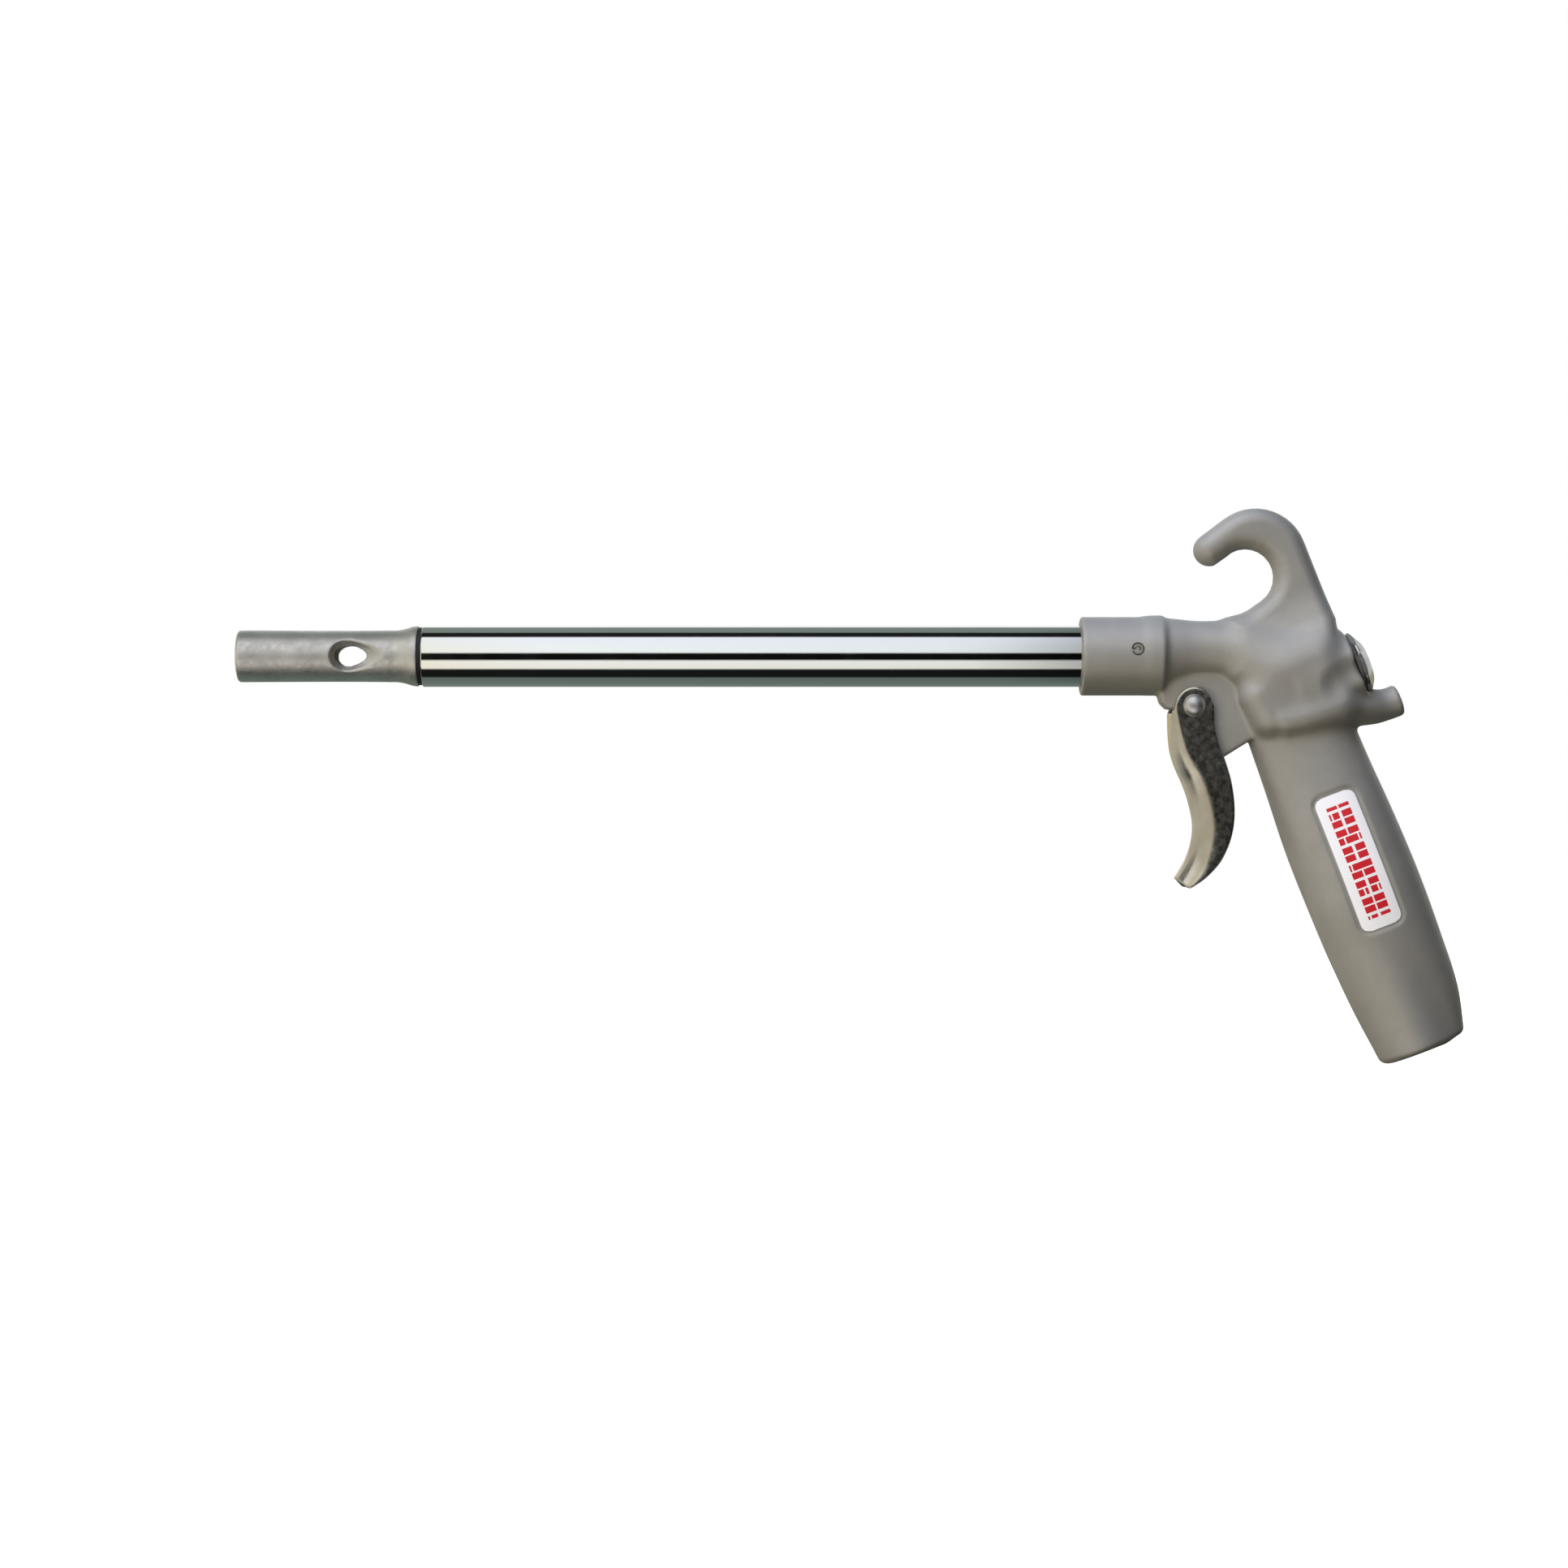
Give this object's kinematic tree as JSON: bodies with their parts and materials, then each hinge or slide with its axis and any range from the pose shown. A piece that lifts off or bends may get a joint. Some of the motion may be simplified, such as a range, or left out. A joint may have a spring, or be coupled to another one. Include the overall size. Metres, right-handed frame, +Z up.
{
  "type": "compressed-air safety blow gun",
  "caption": "Pistol-grip compressed-air blow gun in cast aluminium with hook, pressed trigger, poppet valve, chromed extension tube and vented safety nozzle.",
  "frame": {"origin": "centre of the collar's front face, on the extension tube's axis", "axes": "the tube and nozzle run along -X, the grip hangs to +X and -Z, +Z is up, and the gun is symmetric about the plane Y = 0 apart from the label on its -Y side"},
  "size_m": [0.2842, 0.0208, 0.1287],
  "materials": {
    "cast_aluminium": "tumbled die-cast aluminium alloy, satin grey",
    "chromed_steel": "drawn steel tube, bright chrome plate",
    "spring_steel": "rolled spring steel",
    "fibre": "red-brown vulcanised fibre",
    "tumbled_aluminium": "turned and tumbled aluminium, fine rough grain",
    "nitrile": "black nitrile rubber",
    "brass": "turned brass",
    "nickel_plate": "pressed sheet steel, bright nickel plate",
    "rivet_steel": "bright zinc-plated steel",
    "stainless": "ground stainless steel",
    "plug_steel": "zinc-plated steel, turned from hexagon bar",
    "label_film": "white polyester film with plain red marks"
  },
  "bodies": {
    "gun": {"gun_body": "cast_aluminium", "extension_tube": "chromed_steel", "tube_lock_pin": "spring_steel", "tube_seal": "fibre", "safety_nozzle": "tumbled_aluminium", "nozzle_ring": "nitrile", "jet_insert": "brass", "trigger_rivet": "rivet_steel", "stem_guide": "brass", "guide_seal": "nitrile", "valve_spring": "spring_steel", "valve_plug": "plug_steel", "plug_seal": "fibre", "grip_label": "label_film"},
    "trigger": {"trigger": "nickel_plate"},
    "valve": {"valve_stem": "stainless", "seat_disc": "nitrile", "valve_poppet": "brass", "poppet_nut": "brass"}
  },
  "joints": [
    {"name": "trigger_pivot", "type": "hinge", "parent": "gun", "child": "trigger", "pos_m": [0.0258, 0, -0.0115], "axis": [0, -1, 0], "range_deg": [0, 16], "stiffness_Nm_per_rad": 0.5, "springref_deg": -28.65},
    {"name": "valve_travel", "type": "slide", "parent": "gun", "child": "valve", "axis": [0.9336, 0, 0.3584], "range_m": [0, 0.0016], "deforming": ["valve_spring"]}
  ],
  "couplings": [
    {"joint": "valve_travel", "follows": "trigger_pivot", "m_per_rad": 0.0053}
  ]
}
